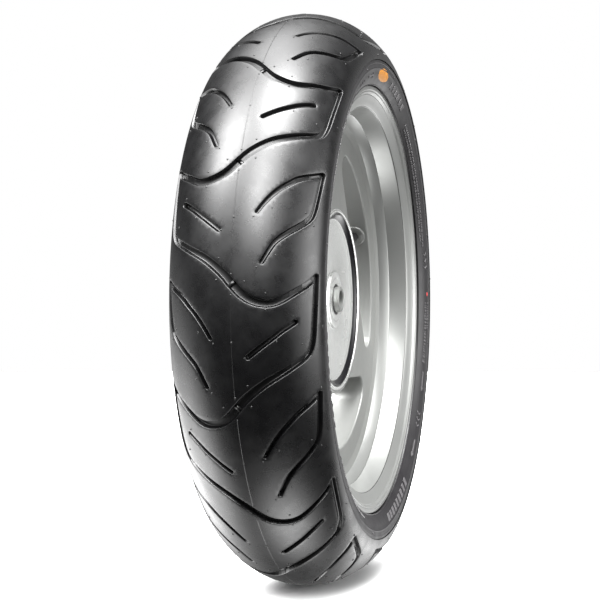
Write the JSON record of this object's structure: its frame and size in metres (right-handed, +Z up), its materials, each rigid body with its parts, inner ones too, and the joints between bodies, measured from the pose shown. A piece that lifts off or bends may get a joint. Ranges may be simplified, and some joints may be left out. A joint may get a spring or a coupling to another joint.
{
  "type": "motorcycle tyre on its wheel",
  "caption": "Radial rear motorcycle tyre with a grooved tread, mounted on a light alloy spoked rim that turns on ball bearings.",
  "frame": {"origin": "centre of the wheel, on its axis and on the tyre's centre plane", "axes": "+Y along the wheel axis towards the dished side of the hub, +Z up with one spoke, +X the way the pictured tread faces"},
  "size_m": [0.624, 0.1572, 0.624],
  "materials": {
    "tread_rubber": "satin",
    "side_rubber": "matte",
    "carcass_cord": "rubbered cord",
    "steel_cord": "satin",
    "polished_alloy": "polished",
    "machined_alloy": "polished",
    "collar_alloy": "anodised satin",
    "bearing_steel": "ground and polished",
    "cage_brass": "satin",
    "valve_brass": "satin",
    "seal_rubber": "satin",
    "cap_plastic": "satin"
  },
  "bodies": {
    "axle_set": {"spacer_tube": "collar_alloy", "collar_right": "collar_alloy", "collar_left": "collar_alloy", "bearing_inner_right": "bearing_steel", "bearing_inner_left": "bearing_steel"},
    "wheel": {"tread": "tread_rubber", "undertread": "tread_rubber", "belt": "steel_cord", "ply_outer": "carcass_cord", "ply_inner": "carcass_cord", "liner": "side_rubber", "sidewall_right": "side_rubber", "sidewall_left": "side_rubber", "apex_right": "side_rubber", "apex_left": "side_rubber", "bead_core_right": "steel_cord", "bead_core_left": "steel_cord", "chafer_right": "side_rubber", "chafer_left": "side_rubber", "rim_barrel": "polished_alloy", "wheel_centre": "machined_alloy", "bearing_outer_right": "bearing_steel", "bearing_outer_left": "bearing_steel", "bearing_seals_right": "seal_rubber", "bearing_seals_left": "seal_rubber", "dust_seal_right": "seal_rubber", "dust_seal_left": "seal_rubber", "valve_rubber": "seal_rubber", "valve_stem": "valve_brass", "valve_core": "valve_brass"},
    "ball_set_right": {"balls_right": "bearing_steel", "cage_right": "cage_brass"},
    "ball_set_left": {"balls_left": "bearing_steel", "cage_left": "cage_brass"},
    "valve_pin_set": {"valve_pin": "bearing_steel", "valve_spring": "bearing_steel"},
    "valve_cap_set": {"valve_cap": "cap_plastic"}
  },
  "joints": [
    {"name": "wheel_spin", "type": "hinge", "parent": "axle_set", "child": "wheel", "pos_m": [0, 0, 0], "axis": [0, 1, 0], "continuous": true},
    {"name": "ball_spin_right", "type": "hinge", "parent": "axle_set", "child": "ball_set_right", "pos_m": [0, 0, 0], "axis": [0, 1, 0], "continuous": true},
    {"name": "ball_spin_left", "type": "hinge", "parent": "axle_set", "child": "ball_set_left", "pos_m": [0, 0, 0], "axis": [0, 1, 0], "continuous": true},
    {"name": "valve_pin_slide", "type": "slide", "parent": "wheel", "child": "valve_pin_set", "axis": [-0.891, 0, 0.454], "range_m": [0, 0.0015], "stiffness_N_per_m": 300, "springref_m": -0.004},
    {"name": "valve_cap_lift", "type": "slide", "parent": "wheel", "child": "valve_cap_set", "axis": [0.891, 0, -0.454], "range_m": [0, 0.014]}
  ],
  "couplings": [
    {"joint": "ball_spin_right", "follows": "wheel_spin", "ratio": 0.6185},
    {"joint": "ball_spin_left", "follows": "wheel_spin", "ratio": 0.6185}
  ]
}
